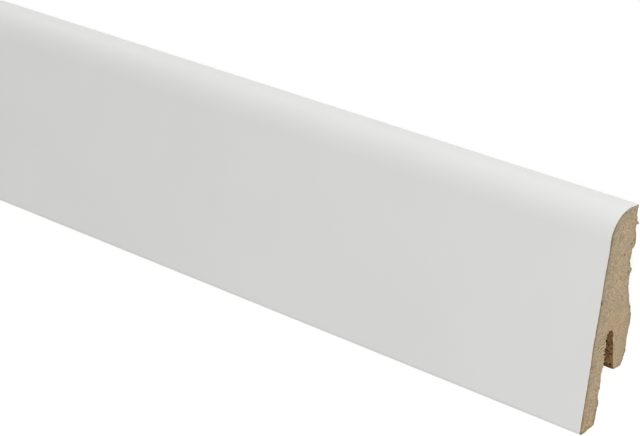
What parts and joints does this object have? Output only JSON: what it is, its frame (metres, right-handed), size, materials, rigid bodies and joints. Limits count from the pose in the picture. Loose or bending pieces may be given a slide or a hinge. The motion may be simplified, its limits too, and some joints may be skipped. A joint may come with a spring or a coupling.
{
  "type": "skirting board length",
  "caption": "Straight length of clip-on skirting board: MDF with a white foil wrap, a leaning face, a rounded head, a thin lip to the floor and a clip slot in the back.",
  "frame": {"origin": "middle of the length and of the height, on the floor that the board lies on, which is also the plane of the wall when it is fitted", "axes": "+X along the length, +Y from the foot of the board to its rounded head, +Z out from the wall to the room side"},
  "size_m": [2.4, 0.058, 0.019],
  "materials": {
    "mdf": "matte",
    "foil": "matte"
  },
  "bodies": {
    "root": {"mdf_board": "mdf", "white_foil": "foil"}
  },
  "joints": []
}
